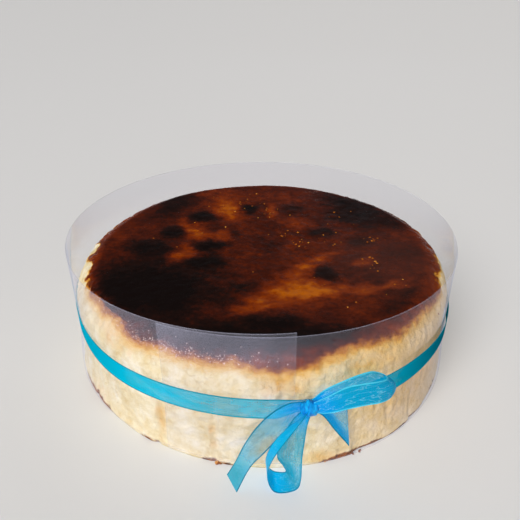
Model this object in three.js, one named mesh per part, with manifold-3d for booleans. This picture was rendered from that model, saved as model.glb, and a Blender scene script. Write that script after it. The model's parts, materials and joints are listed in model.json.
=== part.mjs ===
// A burnt-top baked cheesecake in a clear film collar, tied round with a sheer ribbon and a bow.
// Millimetres, +Z up. The origin is the centre of the flat base, and the bow faces -Y.
// Angles are in degrees from the front (-Y) towards +X.
import * as THREE from 'three';
import { mergeVertices } from 'three/addons/utils/BufferGeometryUtils.js';
import Module from 'manifold-3d';

const { degToRad, radToDeg, euclideanModulo, lerp, seededRandom, smoothstep } = THREE.MathUtils;

// Cake: baked in a ten-inch tin, a little shrunk as it cooled
const CAKE_RADIUS = 122.3; // at the foot
const CAKE_HEIGHT = 65.2; // at the crown of the edge
const CAKE_TAPER = 0.04; // radius lost with each millimetre of height
const BULGE = { size: 2.8, angle: 20, spread: 30 }; // the front right stands out, most at the foot
const FOOT_ROUND = 1.6; // radius of the rounded foot
const EDGE = { height: 19.2, depth: 15.3, slump: 1.3, power: 1.25 }; // round of the top edge
const DISH_DEPTH = 1.8; // how far the middle of the top has sunk
// unevenness of the crown's height, and of the top
const RIM_WAVES = [{ size: 0.42, lobes: 2, phase: 0.5 }, { size: 0.28, lobes: 7, phase: 0 }];
const TOP_WAVE = { size: 0.6, length: 74, shiftX: 12, shiftY: 24 };

// Creases that the crumpled baking paper left in the side
const CREASE_HALF_ANGLE = 1.1; // from the bottom of a crease to its shoulder
const CREASE_FADE = 6; // a crease runs out over this height
const PANEL_STEP_ANGLE = 3.6; // between mesh columns from crease to crease
const PANEL_WAVE = { size: 0.35, lobes: 5, beat: 3, twist: 0.06 }; // unevenness of the side between creases
const BACK_CREASES = { count: 14, seed: 11, first: 50, last: 304, slant: 0.06, inset: 0.8 };
const BACK_DEPTH = { least: 0.7, most: 1.5 };
const BACK_LOW_END = { least: -10, most: 18 };
const BACK_HIGH_END = { least: 40, most: 64 };

// The creases that show: slant is degrees for each millimetre of height, from and to are heights, and
// left and right say how far the side is set in on either hand
const FRONT_CREASES = [
  { angle: -47, slant: 0.05, depth: 1.0, from: 12, to: 52, left: 0.6, right: 0.8 },
  { angle: -38, slant: -0.08, depth: 1.3, from: 20, to: 54, left: 0.7, right: 0.5 },
  { angle: -25.5, slant: 0.06, depth: 1.5, from: -10, to: 46, left: 0.3, right: 0.9 },
  { angle: -11.6, slant: -0.02, depth: 1.4, from: -10, to: 40, left: 0.6, right: 0.1 },
  { angle: 5.2, slant: 0, depth: 1.2, from: 34, to: 66, left: 0, right: 0.2 },
  { angle: 14.5, slant: 0.04, depth: 0.9, from: 44, to: 62, left: 0.1, right: 0.1 },
  { angle: 22, slant: -0.05, depth: 0.4, from: -10, to: 44, left: 0, right: 1.9 },
  { angle: 33, slant: -0.05, depth: 1.2, from: 14, to: 46, left: 0.4, right: 0.1 },
  { angle: 44, slant: 0.03, depth: 0.9, from: -10, to: 34, left: 0, right: 0.6 },
];

// Film collar: an 80 mm strip wound a little more than once round, drawn in where the ribbon holds it
const FILM_WALL = 0.25;
const FILM_HEIGHT = 80.3;
const FILM_CLEARANCE = 0.5; // to the cake's foot
const FILM_WAIST_RADIUS = 121.2;
const FILM_RIM_RADIUS = 121.4;
const FILM_START_ANGLE = -23.7; // where the inner end stands
const FILM_OVERLAP = 31.3; // past one full turn
const FILM_SPIRAL = 0.6; // radius gained from the inner end to the outer end
const FILM_FLOOR_GAP = 0.4;
const FILM_START_LIFT = { size: 2.2, share: 0.2 }; // the inner end is lifted, over this share of the strip
const FILM_RISE = { size: 4, share: 0.5 }; // the outer end has ridden up, over the last half

// Ribbon: a half-inch organza
const RIBBON_WIDTH = 12.5;
const RIBBON_WALL = 0.35;
const BAND_HEIGHT = 41.2; // of the band's middle line
const BAND_OUTER_RADIUS = 122.95; // leaves 0.3 mm to the film
const BAND_GATHER = { width: 7, from: 2, to: 17 }; // drawn in towards the knot, between these distances
const KNOT_ANGLE = 10.6;
const KNOT = { along: 4.8, out: 6.2, up: 4.4, height: 43.2 }; // half-length, depth, half-height
const KNOT_BACK_SHARE = 0.45; // of the knot's depth, how much lies behind its widest place

// Lengths of the bow, as stations of [along, out, up] measured from the band at the knot, and the
// half-width vector there. Along runs round the band towards +X, and out is square to the band.
const RIGHT_LOOP = [
  { at: [1.0, 1.5, 43.6], half: [0.3, -0.5, 3.2] },
  { at: [8.1, 1.8, 45.4], half: [-0.4, -1.8, 5.6] },
  { at: [16.6, 2.1, 48.0], half: [0, -2.2, 6.0] },
  { at: [25.1, 2.3, 49.4], half: [-0.4, -2.4, 6.0] },
  { at: [33.6, 2.6, 49.2], half: [-0.9, -2.5, 5.9] },
  { at: [40.2, 3.5, 47.6], half: [-1.5, -2.3, 5.8] },
  { at: [43.4, 6.0, 46.8], half: [-1.5, -1.5, 5.8] },
  { at: [40.3, 8.3, 47.6], half: [-1.1, -1.1, 5.9] },
  { at: [33.1, 8.9, 49.0], half: [-0.5, -1.1, 6.2] },
  { at: [24.5, 8.2, 50.2], half: [0, -1.0, 6.2] },
  { at: [16.0, 7.3, 50.0], half: [0, -1.0, 6.2] },
  { at: [8.5, 6.1, 47.2], half: [0, -0.8, 5.0] },
  { at: [1.5, 4.2, 44.4], half: [0, -0.5, 3.0] },
];
const HANGING_LOOP = [
  { at: [-0.4, 1.4, 41.5], half: [3.0, 0.2, 0.5] },
  { at: [-5.3, 2.7, 33.0], half: [4.8, 0.5, 1.0] },
  { at: [-8.0, 3.8, 22.5], half: [6.0, 0.7, 0.8] },
  { at: [-9.2, 4.9, 12.5], half: [5.9, 1.5, 0.6] },
  { at: [-8.3, 7.2, 4.6], half: [3.6, 4.5, 0.4] },
  { at: [-8.9, 9.3, 1.3], half: [1.8, 5.6, 0] },
  { at: [-13.5, 9.8, 0.6], half: [-0.5, 6.2, 0] },
  { at: [-17.7, 9.2, 2.0], half: [-0.5, 6.0, 0.4] },
  { at: [-20.4, 9.2, 9.6], half: [0.1, 5.3, 2.4] },
  { at: [-19.0, 9.5, 19.0], half: [1.1, 4.5, 3.4] },
  { at: [-14.7, 9.6, 29.5], half: [2.1, 3.8, 3.8] },
  { at: [-8.4, 8.0, 38.0], half: [2.4, 2.2, 3.4] },
  { at: [-1.5, 4.5, 42.6], half: [1.2, 0.5, 2.4] },
];
const LEFT_TAIL = [
  { at: [-2.0, 1.7, 44.2], half: [-0.2, 0.5, -2.2] },
  { at: [-8.5, 1.9, 41.6], half: [1.5, 0.7, -4.2] },
  { at: [-14.3, 2.2, 35.4], half: [4.3, 0.7, -4.4] },
  { at: [-20.6, 3.0, 27.2], half: [5.3, 0.8, -3.0] },
  { at: [-26.6, 5.6, 19.6], half: [4.8, 3.1, 0.6] },
  { at: [-31.9, 7.4, 10.2], half: [3.9, 3.5, 2.4] },
  { at: [-36.7, 11.5, 0.7], half: [3.0, 4.8, 0] },
];
const RIGHT_TAIL = [
  { at: [1.6, 1.7, 41.6], half: [-1.6, 0.3, -1.6] },
  { at: [10.1, 2.0, 39.4], half: [-3.8, 0.4, -2.5] },
  { at: [15.2, 2.5, 33.1], half: [-1.9, 0.6, -7.8] },
  { at: [20.6, 3.2, 24.3], half: [1.2, 0.7, -12.7] },
];

// Mesh steps
const SIDE_ROWS = 8;
const FOOT_ROWS = 2;
const EDGE_ROWS = 6;
const TOP_RINGS = 5;
const FILM_STEPS = 130;
const BAND_STEPS = 150;
const LENGTH_STEPS = 3; // from station to station
const KNOT_SEGMENTS = { round: 18, high: 12 };
const MERGE_DISTANCE = 1e-4;

const EDGE_FOOT = CAKE_HEIGHT - EDGE.height;
const FILM_TOP = FILM_FLOOR_GAP + FILM_HEIGHT;
const KNOT_RADIUS = BAND_OUTER_RADIUS + bulgeAt(KNOT_ANGLE, BAND_HEIGHT);
const QUARTER_TURN = Math.PI / 2;

const wasm = await Module();
wasm.setup();

// A point by its angle, radius and height
function polar(angle, radius, height) {
  const turn = degToRad(angle);
  return new THREE.Vector3(radius * Math.sin(turn), -radius * Math.cos(turn), height);
}

// How far the round outline is pushed out at an angle and height, in cake, film and ribbon alike
function bulgeAt(angle, height) {
  const away = euclideanModulo(angle - BULGE.angle + 180, 360) - 180;
  const bell = Math.exp(-((away / BULGE.spread) ** 2));
  return BULGE.size * bell * (1 - (height / FILM_TOP) ** 2);
}

function drawBetween({ least, most }) {
  return lerp(least, most, seededRandom());
}

// Rings of points that share one column order, skinned ring to ring
function skin(rings) {
  const columns = rings[0].length;
  const points = rings.flat();
  const triangles = [];
  for (let ring = 0; ring < rings.length - 1; ring += 1) {
    for (let column = 0; column < columns; column += 1) {
      const a = ring * columns + column;
      const b = ring * columns + (column + 1) % columns;
      triangles.push(a, b, b + columns, a, b + columns, a + columns);
    }
  }
  return { points, triangles };
}

function toGeometry({ points, triangles }) {
  const geometry = new THREE.BufferGeometry().setFromPoints(points);
  geometry.setIndex(triangles);
  return geometry;
}

// Creases on the side away from the bow, drawn with a fixed seed
function backCreases() {
  const { count, seed, first, last, slant, inset } = BACK_CREASES;
  const spacing = (last - first) / (count - 1);
  seededRandom(seed);
  return Array.from({ length: count }, (_, i) => ({
    angle: first + spacing * i + drawBetween({ least: -spacing / 4, most: spacing / 4 }),
    slant: drawBetween({ least: -slant, most: slant }),
    depth: drawBetween(BACK_DEPTH),
    from: drawBetween(BACK_LOW_END),
    to: drawBetween(BACK_HIGH_END),
    left: drawBetween({ least: 0, most: inset }),
    right: drawBetween({ least: 0, most: inset }),
  }));
}

// Mesh columns of the cake: three at each crease, evenly spaced ones between
function cakeColumns() {
  const creases = [...FRONT_CREASES, ...backCreases()];
  const columns = [];
  creases.forEach((crease, i) => {
    const wraps = i === creases.length - 1;
    const next = wraps ? { ...creases[0], angle: creases[0].angle + 360 } : creases[i + 1];
    const { angle, slant } = crease;
    columns.push({ angle: angle - CREASE_HALF_ANGLE, slant, inset: crease.left });
    columns.push({ angle, slant, inset: (crease.left + crease.right) / 2, crease });
    columns.push({ angle: angle + CREASE_HALF_ANGLE, slant, inset: crease.right });
    const start = angle + CREASE_HALF_ANGLE;
    const gap = next.angle - CREASE_HALF_ANGLE - start;
    const steps = Math.max(2, Math.round(gap / PANEL_STEP_ANGLE));
    for (let step = 1; step < steps; step += 1) {
      const share = step / steps;
      const inset = lerp(crease.right, next.left, smoothstep(share, 0, 1));
      columns.push({ angle: start + gap * share, slant: lerp(slant, next.slant, share), inset });
    }
  });
  return columns;
}

// How far the side is set in at a column and height
function sideInset(column, height) {
  const turn = degToRad(column.angle);
  const { size, lobes, beat, twist } = PANEL_WAVE;
  const ripple = Math.sin(lobes * turn + twist * height) * Math.cos(beat * turn);
  const inset = column.inset + size * (1 + ripple) / 2;
  if (!column.crease) return inset;
  const { depth, from, to } = column.crease;
  const begins = smoothstep(height, from - CREASE_FADE, from + CREASE_FADE);
  const ends = 1 - smoothstep(height, to - CREASE_FADE, to + CREASE_FADE);
  return inset + depth * begins * ends;
}

function sideRadius(angle, height) {
  return CAKE_RADIUS - CAKE_TAPER * height + bulgeAt(angle, height);
}

function sidePoint(column, cut, height) {
  const angle = column.angle + column.slant * (height - CAKE_HEIGHT / 2);
  return polar(angle, sideRadius(angle, height) - sideInset(column, height) - cut, height);
}

// The crown, where the rounded edge meets the top: further in on the left, and uneven in height
function crownRadius(angle) {
  return sideRadius(angle, EDGE_FOOT) - EDGE.depth + EDGE.slump * Math.sin(degToRad(angle));
}

function crownHeight(angle) {
  const wave = ({ size, lobes, phase }) => size * Math.sin(lobes * degToRad(angle) + phase);
  return RIM_WAVES.reduce((height, one) => height + wave(one), CAKE_HEIGHT);
}

// Top of the cake at a share of the way out to the crown: sunk in the middle, with low waves
function topPoint(column, share) {
  const place = polar(column.angle, crownRadius(column.angle) * share, 0);
  const { size, length, shiftX, shiftY } = TOP_WAVE;
  const pitch = (2 * Math.PI) / length;
  const wave = size * Math.sin(pitch * (place.x + shiftX)) * Math.cos(pitch * (place.y + shiftY));
  const level = lerp(CAKE_HEIGHT, crownHeight(column.angle), share * share);
  place.z = level - DISH_DEPTH * (1 - share * share) + wave * (1 - share);
  return place;
}

function edgePoint(column, turn) {
  const foot = sidePoint(column, 0, EDGE_FOOT);
  const crown = topPoint(column, 1);
  const out = Math.cos(turn) ** EDGE.power;
  const rise = Math.sin(turn) ** EDGE.power;
  const place = crown.clone().lerp(foot, out);
  place.z = lerp(foot.z, crown.z, rise);
  return place;
}

function cheesecakeGeometry() {
  const columns = cakeColumns();
  const rings = [];
  for (let row = 0; row < FOOT_ROWS; row += 1) {
    const turn = (QUARTER_TURN * row) / FOOT_ROWS;
    const height = FOOT_ROUND * (1 - Math.cos(turn));
    const cut = FOOT_ROUND * (1 - Math.sin(turn));
    rings.push(columns.map((column) => sidePoint(column, cut, height)));
  }
  for (let row = 0; row <= SIDE_ROWS; row += 1) {
    const height = lerp(FOOT_ROUND, EDGE_FOOT, row / SIDE_ROWS);
    rings.push(columns.map((column) => sidePoint(column, 0, height)));
  }
  for (let row = 1; row < EDGE_ROWS; row += 1) {
    const turn = (QUARTER_TURN * row) / EDGE_ROWS;
    rings.push(columns.map((column) => edgePoint(column, turn)));
  }
  for (let ring = 0; ring < TOP_RINGS; ring += 1) {
    const share = 1 - ring / TOP_RINGS;
    rings.push(columns.map((column) => topPoint(column, share)));
  }
  const { points, triangles } = skin(rings);
  const lastRing = (rings.length - 1) * columns.length;
  const baseCentre = points.push(new THREE.Vector3(0, 0, 0)) - 1;
  const topCentre = points.push(topPoint(columns[0], 0)) - 1;
  columns.forEach((column, i) => {
    const next = (i + 1) % columns.length;
    triangles.push(baseCentre, next, i);
    triangles.push(topCentre, lastRing + i, lastRing + next);
  });
  return toGeometry({ points, triangles });
}

// A thin closed wall from cross-sections that go up one face and down the other, capped at both ends
function wallGeometry(sections) {
  const { points, triangles } = skin(sections);
  const corners = sections[0].length;
  const last = points.length - corners;
  for (let up = 0; up < corners / 2 - 1; up += 1) {
    const down = corners - 1 - up;
    triangles.push(up, down - 1, up + 1, up, down, down - 1);
    triangles.push(last + up, last + up + 1, last + down - 1, last + up, last + down - 1, last + down);
  }
  return toGeometry({ points, triangles });
}

// The film's inner radius at a height, without bulge or spiral: in to the waist, then out to the rim
function filmRadius(height) {
  if (height < BAND_HEIGHT) {
    return lerp(CAKE_RADIUS + FILM_CLEARANCE, FILM_WAIST_RADIUS, height / BAND_HEIGHT);
  }
  return lerp(FILM_WAIST_RADIUS, FILM_RIM_RADIUS, (height - BAND_HEIGHT) / (FILM_TOP - BAND_HEIGHT));
}

function collarGeometry() {
  const sections = [];
  for (let step = 0; step <= FILM_STEPS; step += 1) {
    const share = step / FILM_STEPS;
    const angle = FILM_START_ANGLE + (360 + FILM_OVERLAP) * share;
    const lifted = FILM_START_LIFT.size * (1 - smoothstep(share, 0, FILM_START_LIFT.share));
    const risen = FILM_RISE.size * smoothstep(share, FILM_RISE.share, 1);
    const low = FILM_FLOOR_GAP + lifted + risen;
    const heights = [low, BAND_HEIGHT, low + FILM_HEIGHT];
    const face = (depth) => heights.map((height) => {
      const bulge = bulgeAt(angle, Math.min(height, FILM_TOP));
      return polar(angle, filmRadius(height) + bulge + FILM_SPIRAL * share + depth, height);
    });
    sections.push([...face(0), ...face(FILM_WALL).reverse()]);
  }
  return wallGeometry(sections);
}

// A point measured from the band's outer face at the knot
function fromBand(along, out, up) {
  const angle = KNOT_ANGLE + radToDeg(along / KNOT_RADIUS);
  return polar(angle, BAND_OUTER_RADIUS + bulgeAt(angle, BAND_HEIGHT) + out, up);
}

// The band round the collar, drawn in towards the knot
function bandGeometry() {
  const sections = [];
  for (let step = 0; step < BAND_STEPS; step += 1) {
    const along = 2 * Math.PI * KNOT_RADIUS * (step / BAND_STEPS - 0.5);
    const drawn = 1 - smoothstep(Math.abs(along), BAND_GATHER.from, BAND_GATHER.to);
    const half = lerp(RIBBON_WIDTH, BAND_GATHER.width, drawn) / 2;
    const middle = lerp(BAND_HEIGHT, KNOT.height, drawn);
    sections.push([
      fromBand(along, -RIBBON_WALL, middle - half),
      fromBand(along, -RIBBON_WALL, middle + half),
      fromBand(along, 0, middle + half),
      fromBand(along, 0, middle - half),
    ]);
  }
  sections.push(sections[0]);
  return toGeometry(skin(sections));
}

// A free length of ribbon through its stations
function lengthGeometry(stations) {
  const edge = (side) => new THREE.CatmullRomCurve3(stations.map(({ at, half }) => (
    fromBand(...at.map((place, axis) => place + side * half[axis]))
  )));
  const first = edge(-1);
  const second = edge(1);
  const steps = LENGTH_STEPS * (stations.length - 1);
  const sections = [];
  for (let step = 0; step <= steps; step += 1) {
    const share = step / steps;
    const a = first.getPoint(share);
    const b = second.getPoint(share);
    const run = first.getTangent(share).add(second.getTangent(share));
    const offset = run.cross(b.clone().sub(a)).setLength(RIBBON_WALL / 2);
    sections.push([
      a.clone().sub(offset),
      b.clone().sub(offset),
      b.clone().add(offset),
      a.clone().add(offset),
    ]);
  }
  return wallGeometry(sections);
}

// The knot: a round lump pressed flat against the band
function knotGeometry() {
  const geometry = new THREE.SphereGeometry(1, KNOT_SEGMENTS.round, KNOT_SEGMENTS.high);
  const places = geometry.getAttribute('position');
  for (let i = 0; i < places.count; i += 1) {
    const along = KNOT.along * places.getX(i);
    const depth = KNOT_BACK_SHARE + (1 - KNOT_BACK_SHARE) * places.getZ(i);
    const out = Math.max(KNOT.out * depth, -RIBBON_WALL / 2);
    const place = fromBand(along, out, KNOT.height + KNOT.up * places.getY(i));
    places.setXYZ(i, place.x, place.y, place.z);
  }
  return geometry;
}

function toSolid(geometry) {
  geometry.deleteAttribute('normal');
  geometry.deleteAttribute('uv');
  const merged = mergeVertices(geometry, MERGE_DISTANCE);
  return new wasm.Manifold(new wasm.Mesh({
    numProp: 3,
    vertProperties: new Float32Array(merged.getAttribute('position').array),
    triVerts: new Uint32Array(merged.getIndex().array),
  }));
}

function fromSolid(solid) {
  const { vertProperties, triVerts } = solid.getMesh();
  const geometry = new THREE.BufferGeometry();
  geometry.setAttribute('position', new THREE.BufferAttribute(vertProperties, 3));
  geometry.setIndex(new THREE.BufferAttribute(triVerts, 1));
  return geometry;
}

// The ribbon is one strip, so band, knot, loops and tails are one solid
function ribbonGeometry() {
  let ribbon = toSolid(bandGeometry()).add(toSolid(knotGeometry()));
  for (const stations of [RIGHT_LOOP, HANGING_LOOP, LEFT_TAIL, RIGHT_TAIL]) {
    ribbon = ribbon.add(toSolid(lengthGeometry(stations)));
  }
  return fromSolid(ribbon);
}

function subPart(name, geometry, look) {
  geometry.computeVertexNormals();
  const mesh = new THREE.Mesh(geometry, new THREE.MeshStandardMaterial(look));
  mesh.name = name;
  return mesh;
}

const CAKE_LOOK = { color: '#c99a5c', roughness: 0.55, metalness: 0 };
const FILM_LOOK = { color: '#f2f4f2', roughness: 0.08, metalness: 0, transparent: true, opacity: 0.2 };
const RIBBON_LOOK = { color: '#1fa9c9', roughness: 0.45, metalness: 0 };

const wrappedCake = new THREE.Group();
wrappedCake.add(subPart('cheesecake', cheesecakeGeometry(), CAKE_LOOK));
wrappedCake.add(subPart('acetate_collar', collarGeometry(), FILM_LOOK));
wrappedCake.add(subPart('ribbon', ribbonGeometry(), RIBBON_LOOK));

export default wrappedCake;
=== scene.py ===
import json
import math
import random

import bpy
from mathutils import Matrix, Vector, noise

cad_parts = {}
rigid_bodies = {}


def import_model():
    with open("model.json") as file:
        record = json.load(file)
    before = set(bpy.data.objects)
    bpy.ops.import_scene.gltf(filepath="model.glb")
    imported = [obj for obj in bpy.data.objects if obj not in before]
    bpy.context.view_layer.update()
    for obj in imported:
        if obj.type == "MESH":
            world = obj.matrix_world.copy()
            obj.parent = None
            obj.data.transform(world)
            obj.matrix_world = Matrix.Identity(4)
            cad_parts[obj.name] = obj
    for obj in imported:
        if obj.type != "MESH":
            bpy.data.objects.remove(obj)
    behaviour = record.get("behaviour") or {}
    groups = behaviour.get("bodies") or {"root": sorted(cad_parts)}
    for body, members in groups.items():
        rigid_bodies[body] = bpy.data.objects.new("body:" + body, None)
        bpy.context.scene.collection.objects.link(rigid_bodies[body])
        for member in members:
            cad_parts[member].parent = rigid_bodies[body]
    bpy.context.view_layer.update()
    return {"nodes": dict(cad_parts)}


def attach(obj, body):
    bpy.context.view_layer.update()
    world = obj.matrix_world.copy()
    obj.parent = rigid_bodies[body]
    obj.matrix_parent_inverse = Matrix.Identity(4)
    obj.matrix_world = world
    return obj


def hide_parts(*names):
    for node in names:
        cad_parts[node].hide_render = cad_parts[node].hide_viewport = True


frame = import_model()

MM = 0.001

# Sizes shared with the solids
CAKE_RADIUS = 122.3
CAKE_HEIGHT = 65.2
BULGE_SIZE, BULGE_ANGLE, BULGE_SPREAD = 2.8, 20, 30
FILM_HEIGHT, FILM_FLOOR_GAP = 80.3, 0.4
FILM_WAIST_RADIUS, FILM_RIM_RADIUS = 121.2, 121.4
FILM_START_ANGLE, FILM_OVERLAP, FILM_SPIRAL = -23.7, 31.3, 0.6
FILM_START_LIFT, FILM_START_SHARE = 2.2, 0.2
FILM_RISE, FILM_RISE_SHARE = 4.0, 0.5
FILM_TOP = FILM_FLOOR_GAP + FILM_HEIGHT
FILM_LENGTH = math.radians(360 + FILM_OVERLAP) * CAKE_RADIUS
RIBBON_WIDTH = 12.5
BAND_HEIGHT, BAND_OUTER_RADIUS = 41.2, 122.95
BAND_GATHER_WIDTH, BAND_GATHER_FROM, BAND_GATHER_TO = 7, 2, 17
KNOT_ANGLE, KNOT_HEIGHT = 10.6, 43.2
KNOT_ALONG, KNOT_OUT, KNOT_UP, KNOT_BACK_SHARE = 4.8, 6.2, 4.4, 0.45

# Room between the dressed film and the cake's foot, more than in the solids because the foot is pressed out
FILM_CLEARANCE = 1.1
# Thickness of the dressed film and ribbon, and how far the tie draws them in away from the knot
FILM_WALL = 0.2
RIBBON_WALL = 0.2
FILM_DRAWN_IN, BAND_DRAWN_IN = 1.0, 1.75
DRAWN_FROM_ANGLE, DRAWN_TO_ANGLE = 45, 75
# Heights between which the film comes to be drawn in
FILM_DRAWN_FROM, FILM_DRAWN_TO = 5, 30
# Right of the knot the band's upper edge is turned over, from and to these distances along it
BAND_FOLD, BAND_FOLD_BEGINS, BAND_FOLD_ENDS = 2.6, (60, 110), (220, 330)
# Pleats where the band is gathered
BAND_PLEATS, BAND_PLEAT_DEPTH = 3, 0.5
# How far the cake's edge stands out at its sides and back, with more on the right than on the left, and the
# angles from the knot, radii and heights over which that begins and ends
EDGE_SWELL, EDGE_SWELL_LEAN = 1.4, 0.3
EDGE_SWELL_ANGLES, EDGE_SWELL_RADII = (35, 65), (100, 110)
EDGE_SWELL_BEGINS, EDGE_SWELL_ENDS = (42, 52), (60, 65)
# How far the cake's foot is pressed out, and up to which height
FOOT_SPREAD, FOOT_SPREAD_HEIGHT = 1.3, 14
# Charred spots smaller than this have risen, the blackest by this much
BLISTER_LIMIT, BLISTER_RISE = 30, 1.2
# Height above which the cake's surface is its top
TOP_FROM = 58
# Size of the cake mesh's cells, and how much of its rounded underside is cut off so that it stands flat
CAKE_CELL = 1.15
FOOT_CUT, FOOT_CUT_SLACK = 0.6, 0.05
# Mesh steps along and across the film, the band, and each stretch of the bow from station to station
FILM_STEPS, FILM_ROWS = 260, 12
BAND_STEPS, STATION_STEPS, RIBBON_ROWS = 420, 8, 10
# Flat lengths of the ribbon; the band's is the round figure that its pattern is laid out on
BAND_PATTERN_LENGTH, LOOP_LENGTH, LEFT_TAIL_LENGTH, RIGHT_TAIL_LENGTH = 770, 100, 62, 28
# How far the right loop's edges are drawn back at its bend
RIGHT_LOOP_CURL = 3.5
# Real organza threads are 0.2 mm apart, too fine to show, so they are drawn this far apart
THREAD_SPACING = 1.2
SELVEDGE_WIDTH, SELVEDGE_FADE, SELVEDGE_COVER = 0.8, 0.3, 0.85
# The span that nearly all of a noise pattern lies in
NOISE_LOW, NOISE_HIGH = 0.3, 0.7
# How far out from the band the middle of the knot lies
KNOT_MIDDLE_OUT = 3
# Edges that turn by more than this many degrees stay crisp
CRISP_ANGLE = 40
# The photo's view: the camera's place, turn, tilt down and roll, and its focal length in the frame's pixels
VIEW_PLACE = (1.35, -309.17, 228.41)
VIEW_TURN, VIEW_TILT, VIEW_ROLL = 0.446, 29.51, -0.213
VIEW_FOCUS, VIEW_FRAME, VIEW_SENSOR = 526.14, 520, 36

# Lengths of the bow: stations of (along, out, up) from the band at the knot, and the half-width there
RIGHT_LOOP = (
    ((1.0, 1.5, 43.6), (0.3, -0.5, 3.2)),
    ((8.1, 1.8, 45.4), (-0.4, -1.8, 5.6)),
    ((16.6, 2.1, 48.0), (0, -2.2, 6.0)),
    ((25.1, 2.3, 49.4), (-0.4, -2.4, 6.0)),
    ((33.6, 2.6, 49.2), (-0.9, -2.5, 5.9)),
    ((40.2, 3.5, 47.6), (-1.5, -2.3, 5.8)),
    ((43.4, 6.0, 46.8), (-1.5, -1.5, 5.8)),
    ((40.3, 8.3, 47.6), (-1.1, -1.1, 5.9)),
    ((33.1, 8.9, 49.0), (-0.5, -1.1, 6.2)),
    ((24.5, 8.2, 50.2), (0, -1.0, 6.2)),
    ((16.0, 7.3, 50.0), (0, -1.0, 6.2)),
    ((8.5, 6.1, 47.2), (0, -0.8, 5.0)),
    ((1.5, 4.2, 44.4), (0, -0.5, 3.0)),
)
HANGING_LOOP = (
    ((-0.4, 1.4, 41.5), (3.0, 0.2, 0.5)),
    ((-5.3, 2.7, 33.0), (4.8, 0.5, 1.0)),
    ((-8.0, 3.8, 22.5), (6.0, 0.7, 0.8)),
    ((-9.2, 4.9, 12.5), (5.9, 1.5, 0.6)),
    ((-8.3, 7.2, 4.6), (3.6, 4.5, 0.4)),
    ((-8.9, 9.3, 1.3), (1.8, 5.6, 0)),
    ((-13.5, 9.8, 0.6), (-0.5, 6.2, 0)),
    ((-17.7, 9.2, 2.0), (-0.5, 6.0, 0.4)),
    ((-20.4, 9.2, 9.6), (0.1, 5.3, 2.4)),
    ((-19.0, 9.5, 19.0), (1.1, 4.5, 3.4)),
    ((-14.7, 9.6, 29.5), (2.1, 3.8, 3.8)),
    ((-8.4, 8.0, 38.0), (2.4, 2.2, 3.4)),
    ((-1.5, 4.5, 42.6), (1.2, 0.5, 2.4)),
)
LEFT_TAIL = (
    ((-2.0, 1.7, 44.2), (-0.2, 0.5, -2.2)),
    ((-8.5, 1.9, 41.6), (1.5, 0.7, -4.2)),
    ((-14.3, 2.2, 35.4), (4.3, 0.7, -4.4)),
    ((-20.6, 3.0, 27.2), (5.3, 0.8, -3.0)),
    ((-26.6, 5.6, 19.6), (4.8, 3.1, 0.6)),
    ((-31.9, 7.4, 10.2), (3.9, 3.5, 2.4)),
    ((-36.7, 11.5, 0.7), (3.0, 4.8, 0)),
)
RIGHT_TAIL = (
    ((1.6, 1.7, 41.6), (-1.6, 0.3, -1.6)),
    ((10.1, 2.0, 39.4), (-3.8, 0.4, -2.5)),
    ((15.2, 2.5, 33.1), (-1.9, 0.6, -7.8)),
    ((20.6, 3.2, 24.3), (1.2, 0.7, -12.7)),
)

# Burnt top: places where the sugar glows amber and where it is charred, as x, y, half-length, half-width,
# turn in degrees and strength
AMBER_GLOWS = (
    (-25, 58, 32, 16, 112, 0.38),
    (-46, 22, 26, 13, 126, 0.36),
    (-54, -12, 22, 11, 70, 0.33),
    (15, -58, 38, 21, 12, 0.38),
    (28, -56, 20, 10, 8, 0.2),
    (-5, -71, 20, 8, 20, 0.28),
    (45, -54, 22, 12, 5, 0.25),
    (20, -43, 24, 17, 60, 0.25),
    (34, -20, 28, 10, 40, 0.36),
    (64, -22, 14, 8, 30, 0.3),
    (26, 36, 20, 14, 150, 0.2),
    (-28, 17, 13, 9, 90, 0.24),
    (7, 56, 20, 6, 95, 0.28),
    (-90, 60, 34, 18, 60, 0.1),
    (-34, 84, 44, 26, 120, 0.13),
    (14, 80, 30, 20, 0, 0.12),
    (62, -52, 18, 9, 8, 0.26),
    (79, -49, 14, 7, 10, 0.26),
)
CHARRED_SPOTS = (
    (-43, 45, 16, 15, 0, 0.36),
    (-11, 59, 16, 11, 95, 0.32),
    (24, 59, 16, 15, 0, 0.2),
    (-62, 21, 16, 14, 0, 0.3),
    (-76, -2, 26, 18, 0, 0.36),
    (-36, 1, 18, 14, 0, 0.36),
    (-34, -20, 20, 14, 0, 0.32),
    (42, 21, 14, 13, 0, 0.22),
    (64, 5, 16, 15, 0, 0.2),
    (40, -36, 13, 12, 0, 0.44),
    (-8, -52, 14, 11, 0, 0.16),
    (6, -84, 26, 12, 0, 0.25),
    (-64, -52, 66, 56, 0, 0.42),
    (-10, -100, 120, 24, 0, 0.34),
    (78, 58, 46, 58, 20, 0.28),
    (92, -8, 20, 18, 0, 0.14),
    (67, -44, 12, 10, 0, 0.16),
    (84, -66, 42, 18, 42, 0.22),
    (-66, 72, 24, 30, 0, 0.26),
    (-78, 48, 26, 26, 0, 0.14),
    (6, 2, 18, 16, 0, 0.12),
    (-18, 20, 10, 8, 0, 0.1),
)
# Painted sheen: a greyish maroon tint over the crust's right, standing in for the room light that the sugar
# reflects
PAINTED_SUGAR_SHEEN = (
    (84, -20, 66, 66, 0, 0.3),
)
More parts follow.
